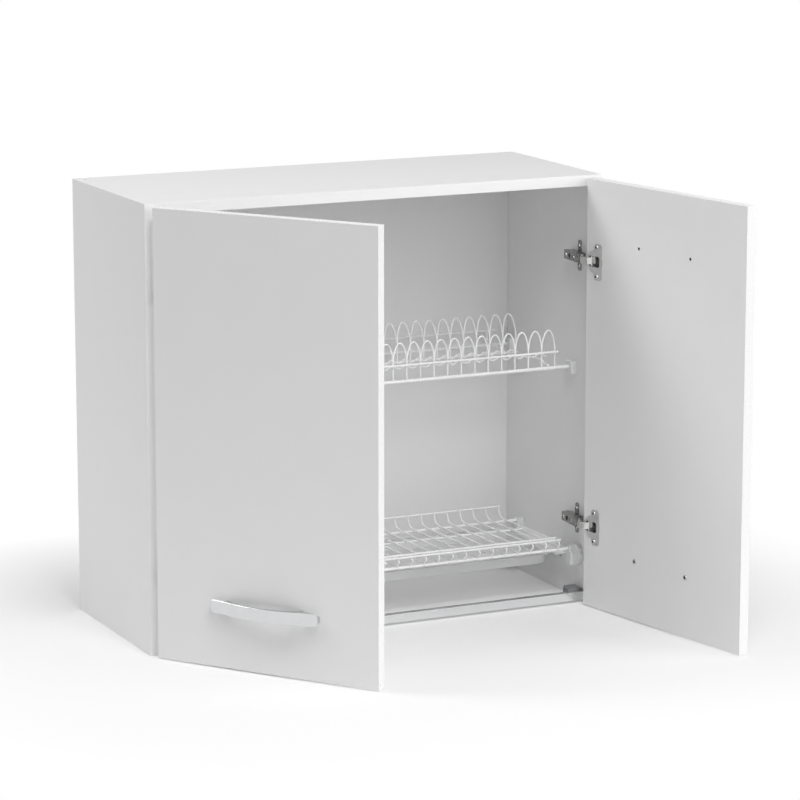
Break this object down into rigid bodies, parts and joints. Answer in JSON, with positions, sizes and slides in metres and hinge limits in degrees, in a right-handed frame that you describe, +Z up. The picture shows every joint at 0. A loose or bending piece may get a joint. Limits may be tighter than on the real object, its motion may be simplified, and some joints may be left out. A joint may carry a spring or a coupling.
{
  "type": "dish drainer cabinet",
  "caption": "White wall cabinet with hinged doors, bow handles, a wire plate rack, a wire cup rack and a drip tray over an open bottom.",
  "frame": {"origin": "midway between the two wall hook holes, on the wall plane", "axes": "+X from the left side to the right side seen from the front, +Y towards the wall, +Z up"},
  "size_m": [0.8538, 0.7225, 0.72],
  "materials": {
    "white_laminate": "white melamine faced board with matching edge band",
    "white_back_board": "thin hardboard painted white",
    "beech_dowel": "plain beech",
    "zinc_plated_steel": "zinc plated",
    "nickel_plated_steel": "nickel plated",
    "anodised_aluminium": "satin anodised",
    "grey_plastic": "moulded, matt",
    "milky_plastic": "milky translucent, moulded",
    "white_coated_wire": "white epoxy coated steel wire",
    "clear_tray_plastic": "clear, slightly frosted",
    "polished_chrome": "polished"
  },
  "bodies": {
    "root": {"left_side_panel": "white_laminate", "right_side_panel": "white_laminate", "top_panel": "white_laminate", "panel_dowels": "beech_dowel", "back_panel": "white_back_board", "left_hanging_bracket": "zinc_plated_steel", "right_hanging_bracket": "zinc_plated_steel", "left_hanging_bracket_screws": "zinc_plated_steel", "right_hanging_bracket_screws": "zinc_plated_steel", "front_base_bar": "anodised_aluminium", "rear_base_bar": "anodised_aluminium", "left_front_base_bracket": "grey_plastic", "right_front_base_bracket": "grey_plastic", "left_rear_base_bracket": "grey_plastic", "right_rear_base_bracket": "grey_plastic", "base_bracket_screws": "zinc_plated_steel", "left_hinge_plates": "nickel_plated_steel", "right_hinge_plates": "nickel_plated_steel", "left_hinge_plate_screws": "nickel_plated_steel", "right_hinge_plate_screws": "nickel_plated_steel", "left_hinge_arms": "nickel_plated_steel", "right_hinge_arms": "nickel_plated_steel", "left_hinge_arm_screws": "nickel_plated_steel", "right_hinge_arm_screws": "nickel_plated_steel", "left_hinge_arm_pins": "nickel_plated_steel", "right_hinge_arm_pins": "nickel_plated_steel", "plate_rack_clips": "milky_plastic", "left_rack_support": "milky_plastic", "right_rack_support": "milky_plastic", "rack_support_screws": "zinc_plated_steel"},
    "left_hinge_link": {"left_hinge_links": "nickel_plated_steel"},
    "left_door": {"left_hinge_cups": "nickel_plated_steel", "left_hinge_cup_pins": "nickel_plated_steel", "left_hinge_cup_screws": "nickel_plated_steel", "left_door_panel": "white_laminate", "left_handle": "polished_chrome", "left_handle_screws": "zinc_plated_steel"},
    "right_hinge_link": {"right_hinge_links": "nickel_plated_steel"},
    "right_door": {"right_hinge_cups": "nickel_plated_steel", "right_hinge_cup_pins": "nickel_plated_steel", "right_hinge_cup_screws": "nickel_plated_steel", "right_door_panel": "white_laminate", "right_handle": "polished_chrome", "right_handle_screws": "zinc_plated_steel"},
    "plate_rack": {"plate_rack_rods": "white_coated_wire", "plate_rack_front_loops": "white_coated_wire", "plate_rack_rear_loops": "white_coated_wire", "plate_rack_seat_wires": "white_coated_wire"},
    "cup_rack": {"cup_rack_rods": "white_coated_wire", "cup_rack_wires": "white_coated_wire"},
    "drip_tray": {"drip_tray": "clear_tray_plastic"}
  },
  "joints": [
    {"name": "left_link_swing", "type": "hinge", "parent": "root", "child": "left_hinge_link", "pos_m": [-0.3657, -0.3178, -0.32], "axis": [0, 0, 1], "range_deg": [-45, 38.12]},
    {"name": "left_door_swing", "type": "hinge", "parent": "left_hinge_link", "child": "left_door", "pos_m": [-0.37673, -0.33901, -0.32], "axis": [0, 0, -1], "range_deg": [-99.11, 83.98]},
    {"name": "right_link_swing", "type": "hinge", "parent": "root", "child": "right_hinge_link", "pos_m": [0.3657, -0.3178, -0.32], "axis": [0, 0, -1], "range_deg": [-56.7, 0]},
    {"name": "right_door_swing", "type": "hinge", "parent": "right_hinge_link", "child": "right_door", "pos_m": [0.3722, -0.34081, -0.32], "axis": [0, 0, 1], "range_deg": [-156.65, 0]},
    {"name": "plate_rack_lift", "type": "slide", "parent": "root", "child": "plate_rack", "axis": [0, 0, 1], "range_m": [0, 0.04]},
    {"name": "cup_rack_lift", "type": "slide", "parent": "root", "child": "cup_rack", "axis": [0, 0, 1], "range_m": [0, 0.03]},
    {"name": "drip_tray_slide", "type": "slide", "parent": "root", "child": "drip_tray", "axis": [0, -1, 0], "range_m": [0, 0.06]}
  ],
  "couplings": [
    {"joint": "left_door_swing", "follows": "left_link_swing", "ratio": 2.2022},
    {"joint": "right_door_swing", "follows": "right_link_swing", "ratio": 2.7626}
  ]
}
